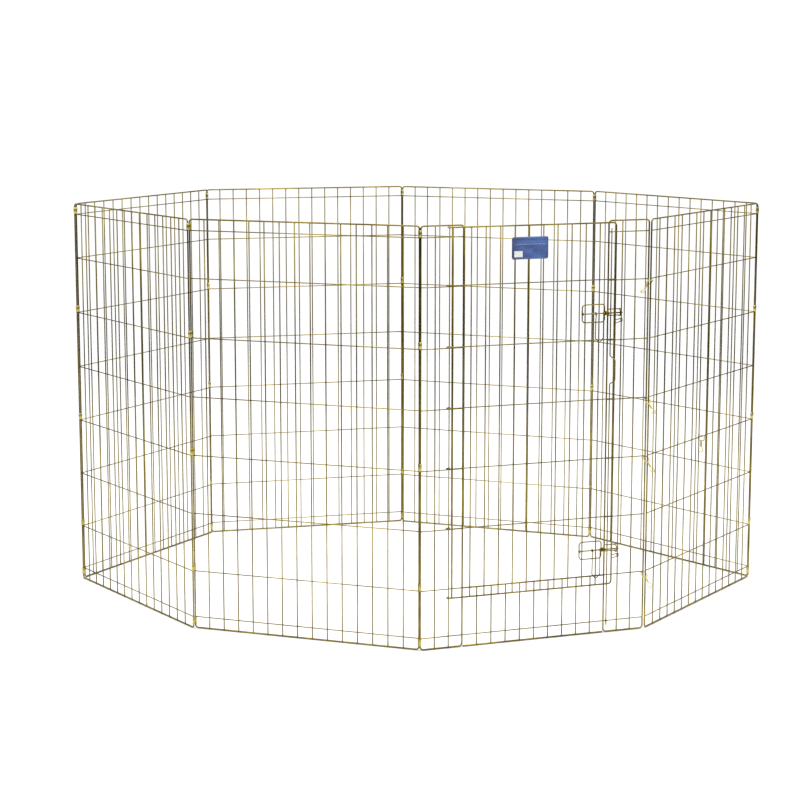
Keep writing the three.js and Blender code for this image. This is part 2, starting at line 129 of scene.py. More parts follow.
SNAP = {"wire": 1.25, "across": 16.8, "along": 14.0, "bend": 1.8, "leg": 1.6, "shank": 18.0,
        "loop": 14.0, "tilt": math.radians(48)}
THUMB = {"half": 6.0, "rise": 4.0}
CLIP = {"wall": 0.8, "inner": 2.3, "pitch": 5.6, "bevel": 0.18}

WIRE, WELD = 0, 1  # material slots of every wire mesh


# ---- materials -----------------------------------------------------------------------------------
class Nodes:
    """A material's node tree, with short calls to add and link nodes."""

    def __init__(self, name):
        self.material = bpy.data.materials.new(name)
        self.material.use_nodes = True
        self.tree = self.material.node_tree
        self.shader = self.tree.nodes["Principled BSDF"]

    def add(self, kind, **values):
        node = self.tree.nodes.new("ShaderNode" + kind)
        for key, value in values.items():
            if key in node.inputs:
                node.inputs[key].default_value = value
            else:
                setattr(node, key, value)
        return node

    def link(self, source, target):
        self.tree.links.new(source, target)

    def coordinates(self, source, scale):
        mapping = self.add("Mapping")
        mapping.inputs["Scale"].default_value = scale
        self.link(self.add("TexCoord").outputs[source], mapping.inputs["Vector"])
        return mapping.outputs["Vector"]

    def noise(self, source, scale, size, detail=3.0, roughness=0.55):
        noise = self.add("TexNoise", Scale=size, Detail=detail, Roughness=roughness)
        self.link(self.coordinates(source, scale), noise.inputs["Vector"])
        return noise.outputs["Fac"]

    def ramp(self, value, stops):
        ramp = self.add("ValToRGB")
        elements = ramp.color_ramp.elements
        for place, colour in stops[1:-1]:
            elements.new(place).color = (*colour, 1)
        for element, (place, colour) in zip((elements[0], elements[-1]), (stops[0], stops[-1])):
            element.position = place
            element.color = (*colour, 1)
        self.link(value, ramp.inputs["Fac"])
        return ramp.outputs["Color"]

    def mix(self, share, first, second, blend="MIX"):
        mix = self.add("Mix", data_type="RGBA", blend_type=blend)
        self.put(share, mix.inputs["Factor"])
        self.put(first, mix.inputs["A"])
        self.put(second, mix.inputs["B"])
        return mix.outputs["Result"]

    def put(self, value, socket):
        if isinstance(value, bpy.types.NodeSocket):
            self.link(value, socket)
        elif isinstance(value, tuple):
            socket.default_value = (*value, 1)
        else:
            socket.default_value = value

    def span(self, value, low, high):
        span = self.add("MapRange")
        span.inputs["To Min"].default_value = low
        span.inputs["To Max"].default_value = high
        self.link(value, span.inputs["Value"])
        return span.outputs["Result"]

    def bump(self, height, strength, distance):
        bump = self.add("Bump", Strength=strength, Distance=distance)
        self.link(height, bump.inputs["Height"])
        self.link(bump.outputs["Normal"], self.shader.inputs["Normal"])


def gold_zinc(name, dark, middle, pale, blush, rough):
    """Yellow zinc plate: a brassy film whose tint drifts along the wire, over the die's drawn lines."""
    nodes = Nodes(name)
    drift = nodes.noise("Object", (1, 1, 1), 9.0, 2.0)
    film = nodes.ramp(drift, [(0.3, dark), (0.5, middle), (0.72, pale)])
    blotch = nodes.noise("Object", (1, 1, 1), 140.0, 4.0)
    tinted = nodes.mix(nodes.span(blotch, -0.35, 0.6), film, blush)
    lines = nodes.noise("UV", (6, 1, 1), 30.0, 3.0, 0.7)
    colour = nodes.mix(nodes.span(lines, 0.0, 0.25), tinted, (0.13, 0.1, 0.045), "MULTIPLY")
    nodes.link(colour, nodes.shader.inputs["Base Color"])
    nodes.shader.inputs["Metallic"].default_value = 1.0
    nodes.link(nodes.span(blotch, rough - 0.07, rough + 0.1), nodes.shader.inputs["Roughness"])
    nodes.bump(lines, 0.25, 0.0001)
    return nodes.material


def weld_tint(name):
    """The squeezed-out bead of a spot weld, plated over but rougher and browner than the wire."""
    nodes = Nodes(name)
    scale = nodes.noise("Object", (1, 1, 1), 420.0, 4.0, 0.7)
    browns = [(0.3, (0.09, 0.062, 0.024)), (0.55, (0.2, 0.15, 0.06)), (0.75, (0.36, 0.29, 0.13))]
    colour = nodes.ramp(scale, browns)
    nodes.link(colour, nodes.shader.inputs["Base Color"])
    nodes.shader.inputs["Metallic"].default_value = 1.0
    nodes.link(nodes.span(scale, 0.42, 0.62), nodes.shader.inputs["Roughness"])
    nodes.bump(scale, 0.5, 0.0002)
    return nodes.material


def card_print(name):
    """A glossy blue card: a clouded ground with a band and a rule across it, a blank pale box, and painted
    shade that darkens its two side ends.
    """
    nodes = Nodes(name)
    split = nodes.add("SeparateXYZ")
    nodes.link(nodes.coordinates("UV", (1, 1, 1)), split.inputs["Vector"])
    across, up = split.outputs["X"], split.outputs["Y"]

    def inside(value, low, high):
        above = nodes.add("Math", operation="GREATER_THAN")
        below = nodes.add("Math", operation="LESS_THAN")
        both = nodes.add("Math", operation="MULTIPLY")
        nodes.link(value, above.inputs[0])
        nodes.link(value, below.inputs[0])
        above.inputs[1].default_value = low
        below.inputs[1].default_value = high
        nodes.link(above.outputs[0], both.inputs[0])
        nodes.link(below.outputs[0], both.inputs[1])
        return both.outputs[0]

    def region(left, right, low, high):
        both = nodes.add("Math", operation="MULTIPLY")
        nodes.link(inside(across, left, right), both.inputs[0])
        nodes.link(inside(up, low, high), both.inputs[1])
        return both.outputs[0]

    cloud = nodes.noise("UV", (1, 1, 1), 2.2, 2.0)
    blues = [(0.3, (0.012, 0.04, 0.17)), (0.5, (0.025, 0.085, 0.31)), (0.72, (0.07, 0.15, 0.46))]
    ground = nodes.ramp(cloud, blues)
    # Painted shade: the ends ramp is multiplied over the print, darkening the card towards its side edges,
    # to 0.35 at one edge and 0.6 at the other.
    shades = [(0.0, (0.35, 0.35, 0.4)), (0.3, (0.9, 0.9, 0.9)), (0.9, (1, 1, 1)),
              (1.0, (0.6, 0.6, 0.65))]
    ends = nodes.ramp(across, shades)
    banded = nodes.mix(region(0.0, 1.0, 0.66, 0.84), ground, (0.045, 0.12, 0.38))
    shaded = nodes.mix(1.0, banded, ends, "MULTIPLY")
    ruled = nodes.mix(region(0.12, 0.93, 0.655, 0.668), shaded, (0.35, 0.45, 0.7))
    boxed = nodes.mix(region(0.07, 0.3, 0.1, 0.37), ruled, (0.8, 0.8, 0.78))
    grain = nodes.noise("UV", (97, 56, 1), 6.0, 2.0)
    worn = nodes.mix(nodes.span(grain, 0.0, 0.12), boxed, (0.7, 0.72, 0.78))
    nodes.link(worn, nodes.shader.inputs["Base Color"])
    nodes.link(nodes.span(grain, 0.3, 0.42), nodes.shader.inputs["Roughness"])
    nodes.shader.inputs["Coat Weight"].default_value = 0.35
    nodes.shader.inputs["Coat Roughness"].default_value = 0.12
    nodes.bump(grain, 0.08, 0.0001)
    return nodes.material


def card_back(name):
    nodes = Nodes(name)
    fibre = nodes.noise("UV", (97, 56, 1), 3.0, 5.0, 0.7)
    colour = nodes.ramp(fibre, [(0.3, (0.62, 0.6, 0.55)), (0.7, (0.78, 0.76, 0.71))])
    nodes.link(colour, nodes.shader.inputs["Base Color"])
    nodes.shader.inputs["Roughness"].default_value = 0.75
    nodes.bump(fibre, 0.15, 0.0001)
    return nodes.material


def tie_plastic(name):
    nodes = Nodes(name)
    haze = nodes.noise("Object", (1, 1, 1), 300.0, 2.0)
    colour = nodes.ramp(haze, [(0.3, (0.05, 0.09, 0.22)), (0.7, (0.08, 0.14, 0.32))])
    nodes.link(colour, nodes.shader.inputs["Base Color"])
    nodes.link(nodes.span(haze, 0.3, 0.45), nodes.shader.inputs["Roughness"])
    nodes.bump(haze, 0.1, 0.0001)
    return nodes.material


GOLD = gold_zinc("gold_zinc", (0.1, 0.072, 0.009), (0.21, 0.165, 0.02), (0.42, 0.34, 0.052),
                 (0.18, 0.115, 0.022), 0.26)
BRIGHT = gold_zinc("bright_zinc", (0.42, 0.34, 0.06), (0.62, 0.53, 0.13), (0.8, 0.71, 0.25),
                   (0.56, 0.42, 0.13), 0.28)
BEAD = weld_tint("weld_bead")
PRINT = card_print("card_print")
BACKING = card_back("card_back")
TIE = tie_plastic("tie_plastic")


# ---- routes and meshes ---------------------------------------------------------------------------
def rounded(corners, bend, steps=6):
    """The corners' route, each corner turned in an arc of the bend radius."""
    points = [corners[0].copy()]
    for before, corner, after in zip(corners, corners[1:], corners[2:]):
        back = (before - corner).normalized()
        on = (after - corner).normalized()
        half = back.angle(on) / 2
        arc = math.pi - 2 * half
        centre = corner + (back + on).normalized() * (bend / math.sin(half))
        first = corner + back * (bend / math.tan(half)) - centre
        last = corner + on * (bend / math.tan(half)) - centre
        side = (last - first * math.cos(arc)).normalized()
        for step in range(steps + 1):
            turn = arc * step / steps
            points.append(centre + first * math.cos(turn) + side * (bend * math.sin(turn)))
    points.append(corners[-1].copy())
    return points


def closed_route(corners, bend, steps=6):
    """A closed route with every corner rounded: it starts and ends halfway along the first side."""
    middle = (corners[0] + corners[1]) / 2
    return rounded([middle, *corners[1:], corners[0], middle], bend, steps)[:-1]


def helix(centre, axis, start, radius, length, turns, per_turn=16):
    """Turns of a coil round the axis, beginning at start, a direction square to it."""
    axis, start = axis.normalized(), start.normalized()
    side = axis.cross(start)
    points = []
    count = round(turns * per_turn)
    for step in range(count + 1):
        angle = 2 * math.pi * turns * step / count
        rim = start * math.cos(angle) + side * math.sin(angle)
        points.append(centre + axis * (length * (step / count - 0.5)) + rim * radius)
    return points


class Piece:
    """One piece's mesh, gathered in a local frame in millimetres."""

    def __init__(self, place):
        self.place = place
        self.points = []
        self.faces = []
        self.slots = []
        self.uvs = []
        self.smooth = []

    def face(self, corners, uvs, slot, smooth=True):
        self.faces.append(corners)
        self.uvs.extend(uvs)
        self.slots.append(slot)
        self.smooth.append(smooth)

    def rings(self, centres, tangents, radii, sides, closed, slot):
        """Skins a row of circles, carried along without twisting."""
        first = len(self.points)
        seed = Vector((0, 1, 0)) if abs(tangents[0].y) < 0.9 else Vector((1, 0, 0))
        across = tangents[0].cross(seed).normalized()
        travelled = 0.0
        lengths = []
        for i, (centre, tangent, radius) in enumerate(zip(centres, tangents, radii)):
            if i:
                travelled += (centre - centres[i - 1]).length
                across = (across - tangent * across.dot(tangent)).normalized()
            lengths.append(travelled * MM)
            other = tangent.cross(across)
            for k in range(sides):
                angle = 2 * math.pi * k / sides
                rim = across * math.cos(angle) + other * math.sin(angle)
                self.points.append(centre + rim * radius)
        count = len(centres)
        for i in range(count if closed else count - 1):
            near, far = i, (i + 1) % count
            along = (lengths[near], lengths[far] if far else travelled * MM + 0.01)
            for k in range(sides):
                turn = (k + 1) % sides
                corners = [first + near * sides + k, first + near * sides + turn,
                           first + far * sides + turn, first + far * sides + k]
                low, high = k / sides, (k + 1) / sides
                uvs = [(along[0], low), (along[0], high), (along[1], high), (along[1], low)]
                self.face(corners, uvs, slot)
        if not closed:
            for row, order in ((0, range(sides - 1, -1, -1)), (count - 1, range(sides))):
                corners = [first + row * sides + k for k in order]
                self.face(corners, [(lengths[row], 0.5)] * sides, slot, False)

    def wire(self, route, radius, closed=False, sides=12, slot=WIRE, worn=0.3):
        """Round wire along a route. Its cut ends have a small worn edge."""
        count = len(route)
        tangents = []
        for i in range(count):
            before = route[i - 1] if i or closed else route[0]
            after = route[(i + 1) % count] if i < count - 1 or closed else route[-1]
            tangents.append((after - before).normalized())
        centres = list(route)
        radii = [radius] * count
        if not closed:
            edge = radius * worn
            centres = [route[0], route[0] + tangents[0] * edge, *route[1:-1],
                       route[-1] - tangents[-1] * edge, route[-1]]
            tangents = [tangents[0], tangents[0], *tangents[1:-1], tangents[-1], tangents[-1]]
            radii = [radius - edge, *radii, radius - edge]
        self.rings(centres, tangents, radii, sides, closed, slot)

    def straight(self, start, end, radius, **options):
        self.wire([start, end], radius, **options)

    def bead(self, centre, radii, slot=WELD, sides=8, bands=5):
        """An ellipsoid: the lump of weld metal between two wires, or a rounded end."""
        first = len(self.points)
        for band in range(1, bands):
            polar = math.pi * band / bands
            for k in range(sides):
                angle = 2 * math.pi * k / sides
                self.points.append(centre + Vector((
                    radii[0] * math.sin(polar) * math.cos(angle),
                    radii[1] * math.sin(polar) * math.sin(angle),
                    radii[2] * math.cos(polar))))
        top, bottom = len(self.points), len(self.points) + 1
        self.points += [centre + Vector((0, 0, radii[2])), centre - Vector((0, 0, radii[2]))]
        flat = (0.0, 0.0)
        for k in range(sides):
            turn = (k + 1) % sides
            self.face([top, first + k, first + turn], [flat] * 3, slot)
            last = first + (bands - 2) * sides
            self.face([bottom, last + turn, last + k], [flat] * 3, slot)
            for band in range(bands - 2):
                near, far = first + band * sides, first + (band + 1) * sides
                self.face([near + k, far + k, far + turn, near + turn], [flat] * 4, slot)

    def mesh(self, name, materials):
        data = bpy.data.meshes.new(name)
        data.from_pydata([self.place @ (p * MM) for p in self.points], [], self.faces)
        for material in materials:
            data.materials.append(material)
        data.polygons.foreach_set("material_index", self.slots)
        data.polygons.foreach_set("use_smooth", self.smooth)
        layer = data.uv_layers.new(name="UVMap")
        layer.data.foreach_set("uv", [value for pair in self.uvs for value in pair])
        data.update()
        return data

    def stand_for(self, body, slot, *nodes, materials=(GOLD, BEAD)):
        """Makes the object, rides it on its body and hides the CAD nodes that it stands for."""
        return show(self.mesh(nodes[0] + "_wire", materials), body, slot, *nodes)


def show(data, body, slot, *nodes):
    piece = bpy.data.objects.new(data.name, data)
    bpy.context.scene.collection.objects.link(piece)
    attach(piece, body)
    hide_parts(*nodes)
    return piece


# ---- where the panels stand ----------------------------------------------------------------------
def flat(place):
    return Vector((place[0], place[1], 0.0))


def standing(origin, along):
    """The frame of a panel that starts at origin and runs along the given direction."""
    out = UP.cross(along)
    turn = Matrix((along, out, UP)).transposed().to_4x4()
    return Matrix.Translation(origin) @ turn


def first_rod(panel):
    """Where a panel's first edge rod stands: the next panel's fold turns about it."""
    return flat(JOINTS[f"corner_{panel - 1}_fold"]["pos_m"])


def last_rod(panel):
    """Where a panel's last edge rod stands: across a clip's middle from the next panel's first rod."""
    low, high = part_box(f"corner_{panel}_clip_1")
    return flat(low + high) - first_rod(panel + 1)


def panel_frame(panel):
    if panel == 1:
        along = Vector(JOINTS["upper_bolt_slide"]["axis"]).normalized()
        return standing(last_rod(1) - along * PANEL_WIDTH * MM, along)
    if panel == 8:
        return standing(first_rod(8), Vector(JOINTS["spare_snap_swing"]["axis"]).normalized())
    return standing(first_rod(panel), (last_rod(panel) - first_rod(panel)).normalized())


PLACES = {panel: panel_frame(panel) for panel in range(1, 9)}


# ---- panels --------------------------------------------------------------------------------------
def at(x, y, z):
    return Vector((x, y, z))


def frame_loop(piece, near, far, low=LOW_ROD, high=HIGH_ROD):
    corners = [at(near, 0, low), at(far, 0, low), at(far, 0, high), at(near, 0, high)]
    piece.wire(closed_route(corners, BEND), ROD, closed=True, sides=ROD_SIDES)


def upright(piece, x, low=LOW_ROD - SINK, high=HIGH_ROD + SINK, out=UPRIGHT_OUT, radius=UPRIGHT):
    piece.straight(at(x, out, low), at(x, out, high), radius)


def row(piece, near, far, z, out=ROW_OUT):
    piece.straight(at(near, out, z), at(far, out, z), ROW_WIRE)


def weld_grid(piece, places, heights, out=UPRIGHT_OUT, behind=ROW_OUT):
    seat = (out - UPRIGHT + behind + ROW_WIRE) / 2
    for x in places:
        for z in heights:
            piece.bead(at(x, seat, z), CROSS_BEAD)


def weld_rods(piece, places, heights, out=UPRIGHT_OUT):
    for x in places:
        for z in heights:
            piece.bead(at(x, out - ROD_SEAT, z), ROD_BEAD)


def weld_row_ends(piece, places, heights):
    for x in places:
        for z in heights:
            piece.bead(at(x, ROW_OUT - END_SEAT, z), END_BEAD)


def plain_panel(panel):
    piece = Piece(PLACES[panel])
    places = [(i + 1) * BAY for i in range(BAYS - 1)]
    frame_loop(piece, 0, PANEL_WIDTH)
    for x in places:
        upright(piece, x)
    for z in ALL_HEIGHTS:
        row(piece, -ROW_REACH, PANEL_WIDTH + ROW_REACH, z)
    weld_grid(piece, places, ALL_HEIGHTS)
    weld_rods(piece, places, (LOW_ROD, HIGH_ROD))
    weld_row_ends(piece, (0, PANEL_WIDTH), ALL_HEIGHTS)
    piece.stand_for(f"panel_{panel}", "wire_zinc", f"panel_{panel}")


def stile(near):
    piece = Piece(PLACES[1])
    far = near + STILE
    places = [near + STILE_BAY, near + 2 * STILE_BAY]
    frame_loop(piece, near, far)
    for x in places:
        upright(piece, x, radius=HINGE_UPRIGHT if abs(x - HINGE_AT) < 1 else UPRIGHT)
    for z in ALL_HEIGHTS:
        row(piece, near - ROW_REACH, far + ROW_REACH, z)
    weld_grid(piece, places, ALL_HEIGHTS)
    weld_rods(piece, places, (LOW_ROD, HIGH_ROD))
    weld_row_ends(piece, (near, far), ALL_HEIGHTS)
    return piece


def keeper(piece, z):
    """A staple whose arms cross the stile's last bay and whose bridge stands in front of the bolt."""
    for level in (z - KEEPER["half"], z + KEEPER["half"]):
        row(piece, 2 * STILE_BAY - ROW_REACH, STILE + ROW_REACH, level)
        weld_grid(piece, (2 * STILE_BAY,), (level,))
        weld_row_ends(piece, (STILE,), (level,))
    low, high = z - KEEPER["half"], z + KEEPER["half"]
    x, out = KEEPER["at"], KEEPER["out"]
    staple = [at(x, ROW_OUT, low), at(x, out, low), at(x, out, high), at(x, ROW_OUT, high)]
    piece.wire(rounded(staple, KEEPER["bend"]), ROW_WIRE)


def stop_wire(piece, z):
    """A wire wound twice round a stile upright. Its ends slant down behind the door's edge rod."""
    x = 2 * STILE_BAY
    reach = UPRIGHT + STOP["reach"]
    behind = UPRIGHT_OUT - reach
    coil = helix(at(x, UPRIGHT_OUT, z), UP, BACK, reach, STOP["length"], STOP["turns"])
    tail = DOOR_LATCH_ROD - 1
    piece.wire([at(tail, behind, z - 8.5), at(x + 3, behind, z - 4.2), *coil,
                at(x + 3, behind, z + 3.6), at(tail, behind, z - 0.5)], STOP["wire"])


def latch_stile():
    piece = stile(0)
    for z in LATCH_HEIGHTS.values():
        keeper(piece, z)
        stop_wire(piece, z - STOP["below"])
    for z in (LOW_ROD + RIM_GAP, HIGH_ROD - RIM_GAP):
        centre = at(LOCK_ROD["at"], LOCK_ROD["out"], z)
        eye = helix(centre, UP, BACK, LOCK_EYE["radius"], LOCK_EYE["length"], LOCK_EYE["turns"])
        piece.wire(eye, LOCK_EYE["wire"])
    piece.stand_for("panel_1", "wire_zinc", "panel_1_latch_stile")


def sill():
    piece = Piece(PLACES[1])
    near = STILE + ROD + SILL_GAP
    far = PANEL_WIDTH - STILE - ROD - SILL_GAP
    places = [STILE + (i + 1) * (PANEL_WIDTH - 2 * STILE) / SILL_BAYS for i in range(SILL_BAYS - 1)]
    for z in (LOW_ROD, SILL_HEIGHT):
        piece.straight(at(near, 0, z), at(far, 0, z), ROD, sides=ROD_SIDES)
        for x in (near, far):
            piece.bead(at(x, 0, z), SILL_LOW_BEAD if z == LOW_ROD else SILL_HIGH_BEAD)
    row(piece, near + 0.4, far - 0.4, LOW_ROD + RIM_GAP)
    for x in places:
        upright(piece, x, high=SILL_HEIGHT + SINK)
    weld_grid(piece, places, (LOW_ROD + RIM_GAP,))
    weld_rods(piece, places, (LOW_ROD, SILL_HEIGHT))
    piece.stand_for("panel_1", "wire_zinc", "panel_1_sill")


# ---- door ----------------------------------------------------------------------------------------
def curl(start, out, z, steps=18):
    """A wire that runs along the door and curls round the hinge wire."""
    reach = out - UPRIGHT_OUT
    points = [at(start, out, z), at(HINGE_AT - 2, out, z)]
    for step in range(steps + 1):
        share = step / steps
        angle = math.pi / 2 - HOOK_WRAP * share
        radius = reach * (1 - 0.12 * share)
        points.append(at(HINGE_AT + radius * math.cos(angle), UPRIGHT_OUT + radius * math.sin(angle), z))
    return points


def door():
    piece = Piece(PLACES[1])
    places = [DOOR_FIRST_UPRIGHT + i * DOOR_BAY for i in range(DOOR_UPRIGHTS)]
    top = curl(DOOR_LATCH_ROD + BEND, DOOR_OUT, DOOR_TOP)
    bottom = curl(DOOR_LATCH_ROD + BEND, DOOR_OUT, DOOR_BOTTOM)
    edge = rounded([top[0], at(DOOR_LATCH_ROD, DOOR_OUT, DOOR_TOP),
                    at(DOOR_LATCH_ROD, DOOR_OUT, DOOR_BOTTOM), bottom[0]], BEND - 0.01)
    piece.wire([*reversed(top[1:]), *edge[1:-1], *bottom[1:]], ROD, sides=ROD_SIDES)
    foot, head = at(DOOR_HINGE_ROD, DOOR_OUT, DOOR_BOTTOM), at(DOOR_HINGE_ROD, DOOR_OUT, DOOR_TOP)
    piece.straight(foot, head, ROD, sides=ROD_SIDES)
    for x in places:
        upright(piece, x, DOOR_BOTTOM - SINK, DOOR_TOP + SINK, DOOR_OUT)
    rows = [z + DOOR_ROW_LIFT for z in ROW_HEIGHTS[1:]]
    for z in rows:
        piece.wire(curl(DOOR_LATCH_ROD - ROW_REACH, DOOR_ROW_OUT, z), ROW_WIRE)
        for x in places:
            piece.bead(at(x, (DOOR_OUT + UPRIGHT + DOOR_ROW_OUT - ROW_WIRE) / 2, z), CROSS_BEAD)
        for x in (DOOR_LATCH_ROD, DOOR_HINGE_ROD):
            piece.bead(at(x, DOOR_ROW_OUT - 1.0, z), DOOR_END_BEAD)
    for z in (DOOR_TOP, DOOR_BOTTOM):
        piece.bead(at(DOOR_HINGE_ROD, DOOR_OUT, z), DOOR_CORNER_BEAD)
        for x in places:
            piece.bead(at(x, DOOR_OUT + ROD_SEAT, z), DOOR_ROD_BEAD)
    piece.stand_for("door", "wire_zinc", "door")


def card():
    """A card with rounded corners that bows a little off the wires behind it."""
    width, height = CARD["far"] - CARD["near"], CARD["high"] - CARD["low"]
    piece = Piece(PLACES[1])
    columns, rows = 24, 14
    corner = CARD["round"]

    def place(i, k, out):
        across, up = i / columns, k / rows
        inset = 0.0
        edge = min(up, 1 - up) * height
        if edge < corner:
            inset = corner - math.sqrt(corner ** 2 - (corner - edge) ** 2)
        x = CARD["near"] + inset + (width - 2 * inset) * across
        bow = 1.1 * (2 * across - 1) ** 2 + 0.5 * max(0.0, 0.35 - up)
        return at(x, out + bow, CARD["low"] + up * height)

    sheets = []
    for out in (CARD["out"] + CARD["thick"], CARD["out"]):
        sheets.append(len(piece.points))
        piece.points += [place(i, k, out) for k in range(rows + 1) for i in range(columns + 1)]

    def index(sheet, i, k):
        return sheets[sheet] + k * (columns + 1) + i

    def seen(i, k):
        return (1 - i / columns, k / rows)

    for i in range(columns):
        for k in range(rows):
            spots = [(i, k), (i, k + 1), (i + 1, k + 1), (i + 1, k)]
            piece.face([index(0, *s) for s in spots], [seen(*s) for s in spots], 0)
            piece.face([index(1, *s) for s in reversed(spots)], [seen(*s) for s in reversed(spots)], 1)
    rim = [(i, 0) for i in range(columns)] + [(columns, k) for k in range(rows)]
    rim += [(i, rows) for i in range(columns, 0, -1)] + [(0, k) for k in range(rows, 0, -1)]
    for here, on in zip(rim, rim[1:] + rim[:1]):
        corners = [index(0, *here), index(0, *on), index(1, *on), index(1, *here)]
        piece.face(corners, [(0.5, 0.5)] * 4, 1, False)
    piece.stand_for("door", "tag_card", "tag_card", materials=(PRINT, BACKING))

    ties = Piece(PLACES[1])
    for x in (DOOR_FIRST_UPRIGHT + 4 * DOOR_BAY, DOOR_FIRST_UPRIGHT + 6 * DOOR_BAY):
        z = CARD["high"] - TIE_LOOP["below"]
        near, far = x - TIE_LOOP["half"], x + TIE_LOOP["half"]
        back, front = TIE_LOOP["back"], TIE_LOOP["front"]
        corners = [at(near, back, z), at(far, back, z), at(far, front, z), at(near, front, z)]
        loop = closed_route(corners, TIE_LOOP["bend"], 4)
        ties.wire(loop, TIE_LOOP["wire"], closed=True, sides=8, slot=0)
        ties.bead(at(x, front + 0.1, z), TIE_BEAD, slot=0)
    made = bpy.data.objects.new("card_ties", ties.mesh("card_ties", (TIE,)))
    bpy.context.scene.collection.objects.link(made)
    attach(made, "door")


# ---- latches -------------------------------------------------------------------------------------
def guide(which, z):
    piece = Piece(PLACES[1])
    low, high, out = z - GUIDE["half"], z + GUIDE["half"], GUIDE["out"]
    near, far = GUIDE["near"], GUIDE["far"]
    corners = [at(near, out, high), at(far, out, high), at(far, out, low), at(near, out, low)]
    piece.wire(closed_route(corners, GUIDE["bend"]), GUIDE["wire"], closed=True)
    middle = (COIL["near"] + COIL["far"]) / 2
    length = COIL["far"] - COIL["near"] - 2 * COIL["wire"]
    coil = helix(at(middle, COIL["out"], z), ALONG, BACK, COIL["radius"], length, COIL["turns"])
    piece.wire(coil, COIL["wire"])
    ring = helix(at(far, BOLT["out"], z), ALONG, BACK, RING["radius"], RING["length"], 1.0)
    piece.wire(ring, RING["wire"])
    for x in (DOOR_FIRST_UPRIGHT, DOOR_FIRST_UPRIGHT + DOOR_BAY):
        for level in (low, high):
            piece.bead(at(x, GUIDE["seat"], level), GUIDE_BEAD)
    piece.stand_for("door", "wire_zinc", f"{which}_latch_guide")


def bolt(which, z):
    piece = Piece(PLACES[1])
    tip, tail = at(BOLT["tip"], BOLT["out"], z), at(BOLT["tail"], BOLT["out"], z)
    piece.straight(tip, tail, BOLT["radius"], sides=ROD_SIDES, worn=0.5)
    knob = at(BOLT["tail"] - 1.3, BOLT["out"], z)
    piece.bead(knob, KNOB_BEAD, slot=WIRE, sides=ROD_SIDES, bands=8)
    piece.stand_for(f"{which}_bolt", "wire_zinc", f"{which}_latch_bolt")


def handle(which, z):
    """A V-shaped bail whose two ends are wound round the bolt."""
    piece = Piece(PLACES[1])
    near, far = HANDLE["near"], HANDLE["far"]
    out, front = BOLT["out"], BOLT["out"] + HANDLE["ring"]
    shoulder, elbow, foot = z - HANDLE["shoulder"], z - HANDLE["legs"], z - HANDLE["drop"]
    bail = rounded([
        at(near + 1.15, front, z), at(near + 0.6, out + 0.6, shoulder), at(near, out, elbow),
        at((near + far) / 2, out, foot),
        at(far, out, elbow), at(far - 0.6, out + 0.6, shoulder), at(far - 1.15, front, z)], HANDLE["bend"])
    piece.wire(bail, HANDLE["wire"])
    for x, axis in ((near, ALONG), (far, -ALONG)):
        eye = helix(at(x, out, z), axis, -BACK, HANDLE["ring"], HANDLE["length"], HANDLE["turns"])
        piece.wire(eye, HANDLE["ring_wire"])
    piece.stand_for(f"{which}_handle", "wire_zinc", f"{which}_latch_handle")


def lock_rod():
    piece = Piece(PLACES[1])

    def on(z, crank=0):
        return at(LOCK_ROD["at"] + crank * CRANK["along"], LOCK_ROD["out"] + crank * CRANK["out"], z)

    route = rounded([
        on(LOCK_ROD["low"]), on(CRANK["low"] - CRANK["rise"]), on(CRANK["low"], 1), on(CRANK["high"], 1),
        on(CRANK["high"] + CRANK["rise"]), on(LOCK_ROD["high"])], CRANK["bend"])
    piece.wire(route, LOCK_ROD["radius"], worn=0.5)
    piece.stand_for("lock_rod", "wire_zinc", "lock_rod")


# ---- clips and snaps -----------------------------------------------------------------------------
def clip_mesh(height):
    """A strip folded round both rods and pinched between them, with an open seam."""
    inner, wall, half = CLIP["inner"], CLIP["wall"], CLIP["pitch"] / 2
    middle = inner + wall / 2
    line = []
    for side, start in ((1, -80), (-1, 100)):
        for step in range(13):
            angle = math.radians(start + 160 * step / 12)
            line.append(Vector((side * half + middle * math.cos(angle), middle * math.sin(angle))))
        line.append(Vector((0, side * (middle - 0.75))))
    seam = Vector((1.1, -middle + 0.45))
    line = [seam + Vector((0.25, 0)), *line[:-1], Vector((0, -middle + 0.75)),
            seam - Vector((0.25, 0.05))]
    outer, inner_line = [], []
    for i, point in enumerate(line):
        before, after = line[max(i - 1, 0)], line[min(i + 1, len(line) - 1)]
        run = (after - before).normalized()
        normal = Vector((run.y, -run.x))
        outer.append(point + normal * wall / 2)
        inner_line.append(point - normal * wall / 2)
    profile = outer + inner_line[::-1]
    piece = Piece(Matrix.Identity(4))
    bevel = CLIP["bevel"]
    levels = ((0.0, bevel), (bevel, 0.0), (height - bevel, 0.0), (height, bevel))
    count = len(line)
    for z, inset in levels:
        for i, point in enumerate(profile):
            mate = profile[2 * count - 1 - i]
            moved = point + (mate - point).normalized() * inset
            piece.points.append(Vector((moved.x, moved.y, z)))
    size = len(profile)
    for level in range(3):
        for i in range(size):
            on = (i + 1) % size
            low, high = level * size, (level + 1) * size
            corners = [low + i, low + on, high + on, high + i]
            low, high = i / size, (i + 1) / size
            uvs = [(low, levels[level][0] * MM), (high, levels[level][0] * MM),
                   (high, levels[level + 1][0] * MM), (low, levels[level + 1][0] * MM)]
            piece.face(corners, uvs, 0, level == 1)
    for i in range(count - 1):
        mate, next_mate = size - 1 - i, size - 2 - i
        piece.face([i, mate, next_mate, i + 1], [(0.5, 0.0)] * 4, 0, False)
        top = 3 * size
        piece.face([top + i, top + i + 1, top + next_mate, top + mate], [(0.5, 0.0)] * 4, 0, False)
    return piece.mesh("clip_strip", (BRIGHT,))


